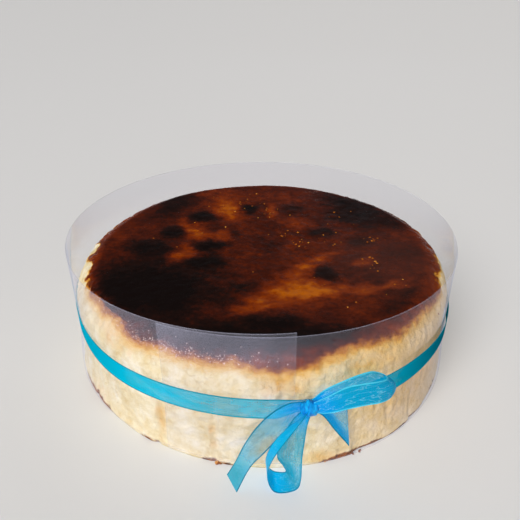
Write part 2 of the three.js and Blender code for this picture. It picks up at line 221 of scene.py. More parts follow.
# Where the browning of the side runs lower or stops higher than elsewhere, on the unrolled side, as angle,
# height, half-angle, half-height, turn and how far it is moved
BROWNING_SHIFTS = (
    (-97, 62, 3, 14, 0, 2.5),
    (-92, 62, 3, 14, 0, -3),
    (-85, 62, 2.5, 14, 0, 3.5),
    (-79, 62, 3, 14, 0, -2.5),
    (-72, 62, 2.5, 14, 0, 2.5),
    (-88, 60, 8, 18, 0, -3.4),
    (-75, 60, 9, 18, 0, -2.6),
    (-56, 60, 9, 16, 0, -1.4),
    (-45, 60, 8, 16, 0, -2),
    (-36, 60, 6, 16, 0, 1.2),
    (5, 60, 12, 18, 0, 2.8),
    (26, 60, 14, 18, 0, -1.7),
    (63, 60, 9, 16, 0, 1.2),
    (72, 58, 6, 14, 0, -2),
    (94, 62, 9, 16, 0, 3),
)
# Golden stains where the paper's creases stood off the side
GOLDEN_STAINS = (
    (-26, 18, 2.6, 26, 0, 0.44),
    (-12, 20, 1.8, 28, 0, 0.36),
    (-43, 54, 14, 10, 0, 0.36),
    (6, 52, 12, 10, 0, 0.5),
    (28, 53, 18, 10, 0, 0.5),
    (15, 4, 9, 9, 0, 0.45),
    (-52, 8, 12, 12, 0, 0.25),
    (36, 26, 1.6, 30, 0, 0.25),
)
# Painted shade: the right of the side made tan and darker, standing in for its shade and the warm light
# bounced onto it
PAINTED_RIGHT_SHADE = (
    (54, 30, 60, 60, 0, 0.56),
)
# Where the crust broke off, so that black meets cream with no browning between
TORN_EDGES = (
    (-82, 62, 24, 18, 0, 2.5),
    (76, 62, 14, 18, 0, 1.5),
)
# Caramel at the foot, with thin dark brown lines along the foot on the right
CARAMEL_FOOT = (
    (-55, 0, 17, 5.6, 0, 0.95),
    (-30, 0, 6, 4, 0, 0.6),
    (-11, 0, 8, 4.5, 0, 0.6),
    (20, 0, 9, 4.6, 0, 1),
    (29, 0, 5, 3.6, 0, 0.8),
    (44, 0, 18, 2.8, 0, 0.9),
    (58, 0, 7, 4.2, 0, 0.9),
    (72, 0, 14, 2.8, 0, 0.7),
)
# Groups of sugar bubbles on the top, as x, y, spread and count, and their least and greatest size
BUBBLE_GROUPS = (
    (76, 10, 4, 12),
    (67, -22, 4, 12),
    (24, 6, 3, 9),
    (-12, 76, 8, 14),
    (6, 54, 6, 14),
    (-30, 78, 7, 10),
    (18, 19, 6, 10),
    (42, 9, 8, 8),
    (30, -58, 16, 8),
    (-45, 20, 10, 6),
    (60, 40, 14, 6),
    (80, -55, 14, 8),
)
BUBBLE_SIZES = (0.3, 1)
# Crumbs at the foot, as first angle, last angle, count and size
CRUMB_GROUPS = (
    (-11, -9, 2, 1.1),
    (14, 26, 7, 0.6),
)
# Syrup beads: how many, their first, last and commonest angle, their least, greatest and commonest size, and
# the ring outside the edge from which they are dropped on it, with the scatter of its height
BEAD_COUNT = 440
BEAD_ANGLES = (-66, 10, -24)
BEAD_SIZES = (0.08, 0.34, 0.12)
BEAD_RING_RADIUS, BEAD_RING_HEIGHT, BEAD_RING_SCATTER = 133, 81, 3
# Tones of the browning below the burnt crust, with the heights over which each sets in, and the crust's own
BROWNING_TONES = (
    (53, 60, "#d9a944"),
    (57, 61.5, "#a8631a"),
    (59.5, 62.5, "#6b2f0e"),
)
BURNT_FROM, BURNT_TO = 60.8, 63
# Height about which the browning is stretched, and how far broad and fine unevenness shift it
BROWNING_MIDDLE, BROAD_SHIFT, FINE_SHIFT = 61, 5, 6
# Places on the flat ribbon, in millimetres along and across it, where it lies doubled, above nought, or is
# pulled thin, below nought
BAND_LAYERS_AND_PAINTED_SHADE = (
    # Right of the knot: painted shade, a deeper teal and more opaque band, partly where its edge is turned
    # over
    (515, 6, 125, 60, 0, 1),
    (235, 6, 90, 60, 0, 0.25),
)
RIGHT_LOOP_LAYERS = (
    (18, 6, 30, 14, 0, -0.3),
)
HANGING_LOOP_LAYERS_AND_PAINTED_LIGHT = (
    (24, 6, 36, 24, 0, -0.9),
    # The loop's front: painted light, a brighter blue standing in for the light on it
    (68, 6, 52, 40, 0, 1),
)
LEFT_TAIL_LAYERS = (
    (59, 6, 14, 16, 0, 0.6),
)
RIGHT_TAIL_LAYERS = (
    (14, 12.5, 30, 8, 0, 1.2),
)


# Places

def polar(angle, radius, height):
    """A place in metres."""
    turn = math.radians(angle)
    return Vector((radius * math.sin(turn), -radius * math.cos(turn), height)) * MM


def smooth(value, low, high):
    """0 below low, 1 above high, and a smooth step between."""
    share = min(max((value - low) / (high - low), 0), 1)
    return share * share * (3 - 2 * share)


def mix(a, b, share):
    """The value that share of the way from a to b."""
    return a + (b - a) * share


def bulge_at(angle, height):
    """How far the round outline is pushed out, in cake, film and ribbon alike."""
    away = (angle - BULGE_ANGLE + 180) % 360 - 180
    bell = math.exp(-((away / BULGE_SPREAD) ** 2))
    return BULGE_SIZE * bell * (1 - min(height / FILM_TOP, 1) ** 2)


def film_radius(height):
    """The film's inner radius: in to the waist at the ribbon, then out to the rim."""
    if height < BAND_HEIGHT:
        return mix(CAKE_RADIUS + FILM_CLEARANCE, FILM_WAIST_RADIUS, height / BAND_HEIGHT)
    return mix(FILM_WAIST_RADIUS, FILM_RIM_RADIUS, (height - BAND_HEIGHT) / (FILM_TOP - BAND_HEIGHT))


def from_knot(angle):
    """How many degrees an angle is from the knot's."""
    return abs((angle - KNOT_ANGLE + 180) % 360 - 180)


def drawn_in(angle, depth):
    """How far a strip is pressed in: not near the knot, and fully at the sides and the back."""
    return depth * smooth(from_knot(angle), DRAWN_FROM_ANGLE, DRAWN_TO_ANGLE)


def edge_swell(angle, radius, height):
    """How far the cake's edge and foot stand out."""
    swell = EDGE_SWELL + EDGE_SWELL_LEAN * math.sin(math.radians(angle))
    swell *= smooth(from_knot(angle), *EDGE_SWELL_ANGLES) * smooth(radius, *EDGE_SWELL_RADII)
    swell *= smooth(height, *EDGE_SWELL_BEGINS) * (1 - smooth(height, *EDGE_SWELL_ENDS))
    return swell + FOOT_SPREAD * (1 - smooth(height, 0, FOOT_SPREAD_HEIGHT))


def from_band(along, out, up):
    """A place measured from the band's outer face at the knot."""
    knot_radius = BAND_OUTER_RADIUS + bulge_at(KNOT_ANGLE, BAND_HEIGHT)
    angle = KNOT_ANGLE + math.degrees(along / knot_radius)
    return polar(angle, BAND_OUTER_RADIUS + bulge_at(angle, BAND_HEIGHT) + out, up)


def along_curve(points, share):
    """A place on the smooth curve through the points."""
    reach = share * (len(points) - 1)
    i = min(int(reach), len(points) - 2)
    t = reach - i
    before = points[i - 1] if i > 0 else points[0] * 2 - points[1]
    after = points[i + 2] if i + 2 < len(points) else points[-1] * 2 - points[-2]
    start, end = points[i], points[i + 1]
    lead_in = (end - before) / 2
    lead_out = (after - start) / 2
    rest = start * (2 * t**3 - 3 * t**2 + 1) + end * (3 * t**2 - 2 * t**3)
    return rest + lead_in * (t**3 - 2 * t**2 + t) + lead_out * (t**3 - t**2)


# Modelling

def only(piece):
    """Leaves this piece alone selected and active."""
    bpy.ops.object.select_all(action="DESELECT")
    piece.select_set(True)
    bpy.context.view_layer.objects.active = piece


def called(name):
    """The active object, under its name."""
    piece = bpy.context.object
    piece.name = name
    piece.data.name = name
    return piece


def finish_with(piece, kind, **settings):
    """Adds a modifier and applies it."""
    only(piece)
    modifier = piece.modifiers.new(kind.lower(), kind)
    for name, value in settings.items():
        setattr(modifier, name, value)
    bpy.ops.object.modifier_apply(modifier=modifier.name)


def relief_texture(name, kind, **settings):
    """A texture that a surface is displaced by."""
    texture = bpy.data.textures.new(name, kind)
    for setting, value in settings.items():
        setattr(texture, setting, value)
    return texture


def bent_strip(name, steps_along, steps_across, place):
    """A grid of unit size, each point then moved to place(along, across)."""
    bpy.ops.object.select_all(action="DESELECT")
    bpy.ops.mesh.primitive_grid_add(x_subdivisions=steps_along, y_subdivisions=steps_across, size=1)
    strip = called(name)
    for vertex in strip.data.vertices:
        vertex.co = place(vertex.co.x + 0.5, vertex.co.y + 0.5)
    bpy.ops.object.shade_smooth()
    return strip


def give_wall(strip, wall):
    """Thickens a strip about its middle and keeps its rims crisp."""
    finish_with(strip, "SOLIDIFY", thickness=wall * MM, offset=0)
    bpy.ops.object.shade_smooth_by_angle(angle=math.radians(CRISP_ANGLE))


def scatter(name, model, matrices):
    """Copies of one model, each with its own mesh, joined into one piece."""
    copies = []
    for matrix in matrices:
        copy = model.copy()
        copy.data = model.data.copy()
        copy.data.transform(matrix)
        bpy.context.collection.objects.link(copy)
        copies.append(copy)
    bpy.data.objects.remove(model)
    bpy.ops.object.select_all(action="DESELECT")
    for copy in copies:
        copy.select_set(True)
    bpy.context.view_layer.objects.active = copies[0]
    bpy.ops.object.join()
    piece = called(name)
    bpy.ops.object.shade_smooth()
    return piece


def lump(name, rounds, seed, roughness):
    """One small uneven ball of unit size."""
    unevenness_rate = 1.7
    bpy.ops.object.select_all(action="DESELECT")
    bpy.ops.mesh.primitive_ico_sphere_add(subdivisions=rounds, radius=1)
    ball = called(name)
    offset = Vector((seed, seed, seed))
    for vertex in ball.data.vertices:
        vertex.co *= 1 + roughness * noise.noise(vertex.co * unevenness_rate + offset)
    return ball


# Materials, where a pattern's scale is 1 over its real size in millimetres

def linear(code):
    """An sRGB hex colour as linear RGBA."""
    channels = [int(code[i:i + 2], 16) / 255 for i in (1, 3, 5)]
    light = [c / 12.92 if c <= 0.04045 else ((c + 0.055) / 1.055) ** 2.4 for c in channels]
    return (*light, 1)


def add(tree, kind, links=None, out=0, **settings):
    """Adds a node with its settings and gives back one of its outputs, or the node itself if out is None.
    Links gives each input a value or another node's output. By number, Map Range takes a value, the span it
    comes from and the span it goes to as 0 to 4, and Mix takes the share as 0, two numbers as 2 and 3, and
    two colours as 6 and 7, whose mix is output 2."""
    node = tree.nodes.new("ShaderNode" + kind)
    for name, value in settings.items():
        setattr(node, name, value)
    for socket, value in (links or {}).items():
        if isinstance(value, bpy.types.NodeSocket):
            tree.links.new(value, node.inputs[socket])
        else:
            node.inputs[socket].default_value = value
    return node if out is None else node.outputs[out]


def new_material(name):
    """An empty material, its node tree, and the place on the object in millimetres."""
    material = bpy.data.materials.new(name)
    material.use_nodes = True
    tree = material.node_tree
    tree.nodes.clear()
    place = add(tree, "TexCoord", out="Object")
    place = add(tree, "VectorMath", {0: place, "Scale": 1 / MM}, operation="SCALE")
    return material, tree, place


def ramp(tree, value, *stops):
    """A colour ramp from (position, hex colour) stops."""
    node = add(tree, "ValToRGB", {0: value}, out=None)
    elements = node.color_ramp.elements
    while len(elements) < len(stops):
        elements.new(1)
    for element, (position, code) in zip(elements, stops):
        element.position = position
        element.color = linear(code)
    return node.outputs["Color"]


def finished(material, surface):
    """The material, with its surface in place."""
    add(material.node_tree, "OutputMaterial", {"Surface": surface}, out=None)
    return material


def off_middle(tree, value, middle):
    """How far a value is from a middle one, to either side."""
    away = add(tree, "Math", {0: value, 1: middle}, operation="SUBTRACT")
    return add(tree, "Math", {0: away}, operation="ABSOLUTE")


def patches(tree, place, shapes):
    """The sum of soft round patches, each with a half-length, half-width, turn and strength, and so deep that
    the third direction doesn't count."""
    full_from, any_depth = 0.85, 1000
    total = 0
    for x, y, long, wide, turn, strength in shapes:
        spot = add(tree, "Mapping", {
            "Vector": place,
            "Location": (x, y, 0),
            "Rotation": (0, 0, math.radians(turn)),
            "Scale": (long, wide, any_depth),
        }, vector_type="TEXTURE")
        soft = add(tree, "TexGradient", {0: spot}, gradient_type="SPHERICAL", out=1)
        part = add(tree, "MapRange", {0: soft, 2: full_from, 4: strength}, interpolation_type="SMOOTHSTEP")
        total = add(tree, "Math", {0: total, 1: part}, operation="ADD")
    return total


def baked_cheesecake():
    """Baked cheesecake: a matt creamy custard side, golden towards the edge, under a burnt sugar top with a
    soft gloss, mottled from black to amber."""
    material, tree, place = new_material("baked_cheesecake")
    parts = add(tree, "SeparateXYZ", {0: place}, out=None).outputs
    front = add(tree, "Math", {0: parts["Y"], 1: -1}, operation="MULTIPLY")
    angle = add(tree, "Math", {0: parts["X"], 1: front}, operation="ARCTAN2")
    angle = add(tree, "Math", {0: angle}, operation="DEGREES")
    unrolled = add(tree, "CombineXYZ", {0: angle, 1: parts["Z"]})
    plan = add(tree, "VectorMath", {0: place, 1: (1, 1, 0)}, operation="MULTIPLY")
    reach = add(tree, "VectorMath", {0: plan}, operation="LENGTH", out="Value")
    level = browning_level(tree, place, unrolled, parts["Z"], reach)
    skin = wrinkled_skin(tree, place)
    colour = side_colour(tree, place, unrolled, skin)
    for low, high, code in BROWNING_TONES:
        share = add(tree, "MapRange", {0: level, 1: low, 2: high}, interpolation_type="SMOOTHSTEP")
        colour = add(tree, "Mix", {0: share, 6: colour, 7: linear(code)}, data_type="RGBA", out=2)
    burnt = add(tree, "MapRange", {0: level, 1: BURNT_FROM, 2: BURNT_TO}, interpolation_type="SMOOTHSTEP")
    crust = crust_colour(tree, place, reach)
    colour = add(tree, "Mix", {0: burnt, 6: colour, 7: crust}, data_type="RGBA", out=2)
    surface = add(tree, "BsdfPrincipled", {
        "Base Color": colour,
        "Roughness": baked_gloss(tree, place, burnt),
        "IOR": 1.2,
        "Normal": baked_grain(tree, place, skin, burnt),
    })
    return finished(material, surface)


def baked_gloss(tree, place, burnt):
    """Roughness: even and matt on the custard, and unevenly glossy on the burnt sugar."""
    custard, glossiest, dullest = 0.6, 0.2, 0.5
    sugar = add(tree, "TexNoise", {"Vector": place, "Scale": 1 / 9, "Detail": 3})
    sugar = add(tree, "MapRange", {0: sugar, 1: NOISE_LOW, 2: NOISE_HIGH, 3: glossiest, 4: dullest})
    return add(tree, "Mix", {0: burnt, 2: custard, 3: sugar}, data_type="FLOAT")


def baked_grain(tree, place, skin, burnt):
    """Bump of the crumb and the creases, strong on the custard and faint on the burnt sugar."""
    crease, crust_strength, depth_mm = 0.17, 0.14, 1.15
    crumb = add(tree, "TexNoise", {"Vector": place, "Scale": 1 / 3, "Detail": 6, "Roughness": 0.6})
    grain = add(tree, "Math", {0: skin, 1: crease, 2: crumb}, operation="MULTIPLY_ADD")
    strength = add(tree, "Mix", {0: burnt, 2: 1, 3: crust_strength}, data_type="FLOAT")
    return add(tree, "Bump", {"Height": grain, "Strength": strength, "Distance": depth_mm * MM})


def browning_level(tree, place, unrolled, height, reach):
    """The height at each place, shifted unevenly, so that the browning has a ragged edge, and raised over the
    crown, so that the whole top is burnt."""
    crown_from, crown_to, crown_rise = 110, 105, 8
    broad = add(tree, "TexNoise", {"Vector": place, "Scale": 1 / 22, "Detail": 2})
    lying = add(tree, "Mapping", {"Vector": place, "Scale": (1 / 5, 1 / 5, 1 / 2)})
    fine = add(tree, "TexNoise", {"Vector": lying, "Scale": 1, "Detail": 5, "Roughness": 0.6})
    level = add(tree, "Math", {0: broad, 1: BROAD_SHIFT, 2: height}, operation="MULTIPLY_ADD")
    level = add(tree, "Math", {0: fine, 1: FINE_SHIFT, 2: level}, operation="MULTIPLY_ADD")
    shift = patches(tree, unrolled, BROWNING_SHIFTS)
    level = add(tree, "Math", {0: level, 1: shift}, operation="ADD")
    crown = add(tree, "MapRange", {0: reach, 1: crown_from, 2: crown_to, 4: crown_rise})
    level = add(tree, "Math", {0: level, 1: crown}, operation="ADD")
    middle = BROWNING_MIDDLE + (BROAD_SHIFT + FINE_SHIFT) / 2
    above = add(tree, "Math", {0: level, 1: middle}, operation="SUBTRACT")
    steep = add(tree, "Math", {0: patches(tree, unrolled, TORN_EDGES), 1: 1}, operation="ADD")
    return add(tree, "Math", {0: above, 1: steep, 2: BROWNING_MIDDLE}, operation="MULTIPLY_ADD")


def crust_colour(tree, place, reach):
    """Burnt sugar: black where charred, red-brown, then amber where it is thin and over the shoulder."""
    wander_mm = 16
    shoulder_from, shoulder_to, shoulder_glow = 103, 114, 0.36
    thick_glow, thin_glow = 0.7, 1.3
    wander = add(tree, "TexNoise", {"Vector": place, "Scale": 1 / 12, "Detail": 5}, out="Color")
    wander = add(tree, "VectorMath", {0: wander, 1: (0.5, 0.5, 0.5)}, operation="SUBTRACT")
    wander = add(tree, "VectorMath", {0: wander, "Scale": wander_mm}, operation="SCALE")
    warped = add(tree, "VectorMath", {0: place, 1: wander}, operation="ADD")
    streak = add(tree, "Mapping", {"Vector": place, "Rotation": (0, 0, 0.7), "Scale": (1, 1.5, 1)})
    streak = add(tree, "TexNoise", {"Vector": streak, "Scale": 1 / 9, "Detail": 5})
    tone = sugar_tone(tree, place, streak)
    thin = add(tree, "MapRange", {0: streak, 1: NOISE_LOW, 2: NOISE_HIGH, 3: thick_glow, 4: thin_glow})
    glow = patches(tree, warped, AMBER_GLOWS)
    tone = add(tree, "Math", {0: glow, 1: thin, 2: tone}, operation="MULTIPLY_ADD")
    char = patches(tree, warped, CHARRED_SPOTS)
    tone = add(tree, "Math", {0: tone, 1: char}, operation="SUBTRACT")
    shoulder = add(tree, "MapRange", {0: reach, 1: shoulder_from, 2: shoulder_to, 4: shoulder_glow})
    tone = add(tree, "Math", {0: shoulder, 1: thin, 2: tone}, operation="MULTIPLY_ADD")
    colour = ramp(tree, tone, (0, "#0f0706"), (0.16, "#1e0c08"), (0.34, "#3f1407"), (0.52, "#612104"),
                  (0.72, "#7c3000"), (1, "#a65602"))
    # Painted sheen: a greyish maroon tint on the right, standing in for the room light that the sugar
    # reflects
    painted_sheen = patches(tree, warped, PAINTED_SUGAR_SHEEN)
    return add(tree, "Mix", {0: painted_sheen, 6: colour, 7: linear("#52302a")}, data_type="RGBA", out=2)


def sugar_tone(tree, place, streak):
    """How light the burnt sugar is before its glows and charred spots: broad patches, streaks and specks."""
    broad = add(tree, "TexNoise", {"Vector": place, "Scale": 1 / 26, "Detail": 3})
    speck = add(tree, "TexNoise", {"Vector": place, "Scale": 1 / 2.5, "Detail": 2})
    # Noise, the span it keeps to, and the tone at its lowest and highest
    grains = (
        (broad, NOISE_LOW, NOISE_HIGH, 0.28, 0.44),
        (streak, 0.25, 0.75, -0.08, 0.08),
        (speck, NOISE_LOW, NOISE_HIGH, -0.06, 0.06),
    )
    tone = 0
    for grain, low, high, darkest, lightest in grains:
        part = add(tree, "MapRange", {0: grain, 1: low, 2: high, 3: darkest, 4: lightest})
        tone = add(tree, "Math", {0: tone, 1: part}, operation="ADD")
    return tone


def wrinkled_skin(tree, place):
    """1 on the flat of the skin and lower in the thin winding creases that the paper left here and there."""
    crease_width = 0.035
    plain_below, creased_above = 0.42, 0.62
    winding = add(tree, "TexNoise", {"Vector": place, "Scale": 1 / 9, "Detail": 5, "Roughness": 0.6})
    winding = off_middle(tree, winding, 0.5)
    winding = add(tree, "MapRange", {0: winding, 2: crease_width}, interpolation_type="SMOOTHSTEP")
    smoothed = add(tree, "TexNoise", {"Vector": place, "Scale": 1 / 24, "Detail": 2})
    smoothed = add(tree, "MapRange", {0: smoothed, 1: plain_below, 2: creased_above, 3: 1, 4: 0})
    return add(tree, "Math", {0: winding, 1: smoothed}, operation="MAXIMUM")


def side_colour(tree, place, unrolled, skin):
    """Set custard: cream, with paler and yellower patches, golden stains and a caramel foot, and painted
    shade as a tan on its right and a golden tan in its creases.
    """
    crease_browning_and_shade = 0.26
    mottle = add(tree, "TexNoise", {"Vector": place, "Scale": 1 / 10, "Detail": 7, "Roughness": 0.64})
    colour = ramp(tree, mottle,
                  (0.3, "#d4c08d"), (0.44, "#ddd0aa"), (0.56, "#e5ddc2"), (0.7, "#ede9da"))
    # Painted shade: the right of the side turns tan, standing in for its shade and the warm light bounced
    # onto it
    painted_shade = patches(tree, unrolled, PAINTED_RIGHT_SHADE)
    colour = add(tree, "Mix", {0: painted_shade, 6: colour, 7: linear("#d29c3e")}, data_type="RGBA", out=2)
    # Golden tan in the creases: partly the crease's own browning and partly painted shade in the crease
    crease = add(tree, "MapRange", {0: skin, 3: crease_browning_and_shade, 4: 0})
    colour = add(tree, "Mix", {0: crease, 6: colour, 7: linear("#c9a563")}, data_type="RGBA", out=2)
    # Patches, grain of their ragged edge, where the stain begins and is full, and its two tones
    stains = (
        (GOLDEN_STAINS, 5, 0.67, 1.25, (0.35, "#dab264"), (0.65, "#d2a24a")),
        (CARAMEL_FOOT, 3, 0.75, 1.05, (0.48, "#8e501e"), (0.68, "#3a241a")),
    )
    for shapes, grain_size, low, high, *tones in stains:
        ragged = add(tree, "TexNoise", {"Vector": place, "Scale": 1 / grain_size, "Detail": 5})
        stain = patches(tree, unrolled, shapes)
        stain = add(tree, "Math", {0: stain, 1: ragged}, operation="ADD")
        stain = add(tree, "MapRange", {0: stain, 1: low, 2: high})
        stained = ramp(tree, ragged, *tones)
        colour = add(tree, "Mix", {0: stain, 6: colour, 7: stained}, data_type="RGBA", out=2)
    return colour


def clear_film():
    """Acetate sheet: clear and glossy, brighter where it is seen edge on, and milky along its top with a haze
    that is partly smears from handling and partly a painted veil of the room light it reflects."""
    edge_power, face_on_shine, edge_on_shine = 5, 0.02, 0.5
    material, tree, place = new_material("clear_acetate_film")
    facing = add(tree, "LayerWeight", {"Blend": 0.5}, out="Facing")
    edge = add(tree, "Math", {0: facing, 1: edge_power}, operation="POWER")
    shine = add(tree, "MapRange", {0: edge, 3: face_on_shine, 4: edge_on_shine})
    haze = smear_and_painted_veil(tree, place)
    share = add(tree, "Math", {0: shine, 1: haze}, operation="ADD")
    bright = add(tree, "Math", {0: shine, 1: share}, operation="DIVIDE")
    through = add(tree, "BsdfTransparent", {0: linear("#fdfdff")})
    # Painted veil: a pale lavender diffuse standing in for the room light that the film reflects
    painted_veil = add(tree, "BsdfDiffuse", {0: linear("#d8dcfa")})
    mirror = add(tree, "BsdfGlossy", {0: linear("#f4f6ff"), "Roughness": 0.05})
    film = add(tree, "MixShader", {0: bright, 1: painted_veil, 2: mirror})
    surface = add(tree, "MixShader", {0: share, 1: through, 2: film})
    return finished(material, surface)


def smear_and_painted_veil(tree, place):
    """How milky the film is: partly smears from handling and partly a painted veil of reflected room light,
    most along its top, at its left, where the light comes from, and at its front, with a painted highlight
    along its cuts.
    """
    cut_mm = 0.5
    least_haze, most_haze = 0.025, 0.045
    # Direction, first and last place, and the share of haze at each
    fades = (
        ("Z", 58, 70, 0.15, 1),
        # More on the left: painted light, the veil brighter on the side the light comes from
        ("X", -40, 60, 1.5, 0.25),
        ("Y", -60, 40, 1, 0.3),
    )
    haze = add(tree, "TexNoise", {"Vector": place, "Scale": 1 / 30, "Detail": 3})
    haze = add(tree, "MapRange", {0: haze, 1: NOISE_LOW, 2: NOISE_HIGH, 3: least_haze, 4: most_haze})
    parts = add(tree, "SeparateXYZ", {0: place}, out=None).outputs
    for side, first, last, start, end in fades:
        fade = add(tree, "MapRange", {0: parts[side], 1: first, 2: last, 3: start, 4: end})
        haze = add(tree, "Math", {0: haze, 1: fade}, operation="MULTIPLY")
    flat = add(tree, "SeparateXYZ", {0: add(tree, "TexCoord", out="UV")}, out=None).outputs
    # Painted highlight: the cut edges and the rim made milkier, as where they catch the light
    for side, length, light in (("X", FILM_LENGTH, 0.06), ("Y", FILM_HEIGHT, 0.14)):
        rim = off_middle(tree, flat[side], 0.5)
        rim = add(tree, "MapRange", {0: rim, 1: 0.5 - cut_mm / length, 2: 0.5, 4: light})
        haze = add(tree, "Math", {0: haze, 1: rim}, operation="ADD")
    return haze


def organza(name, length, thread, uneven, yarn_and_painted_light, selvedge_and_painted_light, gloss_and_painted_glint, layers, doubled_and_painted_light):
    """Organza ribbon: fine stiff polyester threads with gaps, so that what lies behind comes through tinted,
    with close-woven selvedges and a silky shine that is partly gloss and partly painted glints. Thread is the
    share of each face that thread covers seen squarely, where less than nought thins the slanting parts too,
    and uneven is how far that share varies along its folds. Layers are patches on the flat ribbon where it
    lies doubled, in a colour of its own, or is pulled thin; on the band's right the doubled colour is painted
    shade, and on the hanging loop's front it is painted light."""
    thread_relief_mm, glow_share = 0.06, 0.4
    material, tree, place = new_material(name)
    strip = add(tree, "TexCoord", out="UV")
    flat = add(tree, "VectorMath", {0: strip, 1: (length, RIBBON_WIDTH, 1)}, operation="MULTIPLY")
    parts = add(tree, "SeparateXYZ", {0: flat}, out=None).outputs
    weave = crossed_threads(tree, parts)
    layer = patches(tree, flat, layers)
    knot = tuple(from_band(0, KNOT_MIDDLE_OUT, KNOT_HEIGHT) / MM)
    away = add(tree, "VectorMath", {0: place, 1: knot}, operation="DISTANCE", out="Value")
    edge = off_middle(tree, parts["Y"], RIBBON_WIDTH / 2)
    edge_from = RIBBON_WIDTH / 2 - SELVEDGE_WIDTH
    edge = add(tree, "MapRange", {0: edge, 1: edge_from, 2: edge_from + SELVEDGE_FADE})
    cover = thread_cover(tree, flat, thread, uneven, weave, layer, away)
    cover = add(tree, "Mix", {0: edge, 2: cover, 3: SELVEDGE_COVER}, data_type="FLOAT")
    colour = yarn_colour(tree, flat, yarn_and_painted_light, doubled_and_painted_light, gloss_and_painted_glint, layer, away)
    colour = add(tree, "Mix", {0: edge, 6: colour, 7: linear(selvedge_and_painted_light)}, data_type="RGBA", out=2)
    bump = add(tree, "Bump", {"Height": weave, "Distance": thread_relief_mm * MM})
    cloth = add(tree, "BsdfPrincipled", {
        "Base Color": colour, "Roughness": 0.3, "Specular IOR Level": gloss_and_painted_glint / 4, "Normal": bump,
    })
    glow = add(tree, "BsdfTranslucent", {0: colour})
    cloth = add(tree, "MixShader", {0: glow_share, 1: cloth, 2: glow})
    through = add(tree, "BsdfTransparent", {0: linear("#ecf9ff")})
    surface = add(tree, "MixShader", {0: cover, 1: through, 2: cloth})
    return finished(material, surface)


def crossed_threads(tree, parts):
    """High on the threads that run along and across the ribbon, and low in the gaps between them."""
    weave = 0
    for axis in ("X", "Y"):
        wave = add(tree, "Math", {0: parts[axis], 1: math.tau / THREAD_SPACING}, operation="MULTIPLY")
        wave = add(tree, "Math", {0: wave}, operation="SINE")
        weave = add(tree, "Math", {0: weave, 1: wave}, operation="ADD")
    return weave


def thread_cover(tree, flat, thread, uneven, weave, layer, away):
    """The share of a face that thread covers. The gaps close up where the ribbon is seen aslant or lies
    doubled, and in the patches of painted light and shade, where it is taut far from the knot, and where it
    is gathered at the knot."""
    least_cover, most_cover = 0.02, 0.98
    weave_share, aslant_share, doubled_share = 0.02, 1.1, 0.45
    taut_from, taut_to, taut_share = 45, 75, 0.16
    gathered_to, gathered_from, gathered_share = 4, 20, 0.3
    streak = add(tree, "Mapping", {"Vector": flat, "Scale": (1 / 16, 1 / 4, 1)})
    streak = add(tree, "TexNoise", {"Vector": streak, "Scale": 1, "Detail": 4})
    span = {0: streak, 1: NOISE_LOW, 2: NOISE_HIGH, 3: thread - uneven, 4: thread + uneven}
    cover = add(tree, "MapRange", span)
    aslant = add(tree, "LayerWeight", {"Blend": 0.5}, out="Facing")
    for part, share in ((weave, weave_share), (aslant, aslant_share), (layer, doubled_share)):
        cover = add(tree, "Math", {0: part, 1: share, 2: cover}, operation="MULTIPLY_ADD")
    cover = add(tree, "Math", {0: cover, 1: least_cover}, operation="MAXIMUM")
    taut = add(tree, "MapRange", {0: away, 1: taut_from, 2: taut_to, 4: taut_share})
    cover = add(tree, "Math", {0: cover, 1: taut}, operation="ADD")
    gathered = add(tree, "MapRange", {0: away, 1: gathered_to, 2: gathered_from, 3: 1, 4: 0})
    cover = add(tree, "Math", {0: gathered, 1: gathered_share, 2: cover}, operation="MULTIPLY_ADD")
    return add(tree, "Math", {0: cover, 1: most_cover}, operation="MINIMUM")


def yarn_colour(tree, flat, yarn_and_painted_light, doubled_and_painted_light, gloss_and_painted_glint, layer, away):
    """The yarn's colour: bluer at the knot, another where it lies doubled and where painted light and shade
    are laid, and a painted glint along the crinkles.
    """
    blue_to, blue_from = 6, 19
    crinkle_width = 0.018
    deep = add(tree, "MapRange", {0: away, 1: blue_to, 2: blue_from, 3: 1, 4: 0})
    colour = add(tree, "Mix", {0: deep, 6: linear(yarn_and_painted_light), 7: linear("#06acea")}, data_type="RGBA", out=2)
    colour = add(tree, "Mix", {0: layer, 6: colour, 7: linear(doubled_and_painted_light)}, data_type="RGBA", out=2)
    crinkle = add(tree, "Mapping", {"Vector": flat, "Rotation": (0, 0, 0.5), "Scale": (1 / 12, 1 / 3, 1)})
    crinkle = add(tree, "TexNoise", {"Vector": crinkle, "Scale": 1, "Detail": 3})
    crinkle = off_middle(tree, crinkle, 0.5)
    # Painted glint: thin pale cyan lines along the crinkles, as strong as the gloss
    painted_glint = add(tree, "MapRange", {0: crinkle, 2: crinkle_width, 3: gloss_and_painted_glint, 4: 0})
    return add(tree, "Mix", {0: painted_glint, 6: colour, 7: linear("#b4f2fc")}, data_type="RGBA", out=2)


def knotted_organza():
    """The same ribbon drawn tight in a knot: many layers, so a deep clear blue, streaked lighter and darker.
    """
    tones = ((0.3, "#035fb0"), (0.5, "#0788da"), (0.7, "#12acee"))
    finish = {"Roughness": 0.45, "Specular IOR Level": 0.2}
    return mottled("knotted_organza", (1.2, 3, 5), 3, tones, finish, 0.5)


def mottled(name, sizes, detail, tones, finish, lean=0):
    """A material mottled through its tones in patches of those sizes, with one finish all over."""
    material, tree, place = new_material(name)
    rates = [1 / size for size in sizes]
    grain = add(tree, "Mapping", {"Vector": place, "Rotation": (0, lean, 0), "Scale": rates})
    tint = add(tree, "TexNoise", {"Vector": grain, "Scale": 1, "Detail": detail})
    colour = ramp(tree, tint, *tones)
    surface = add(tree, "BsdfPrincipled", {"Base Color": colour, **finish})
    return finished(material, surface)


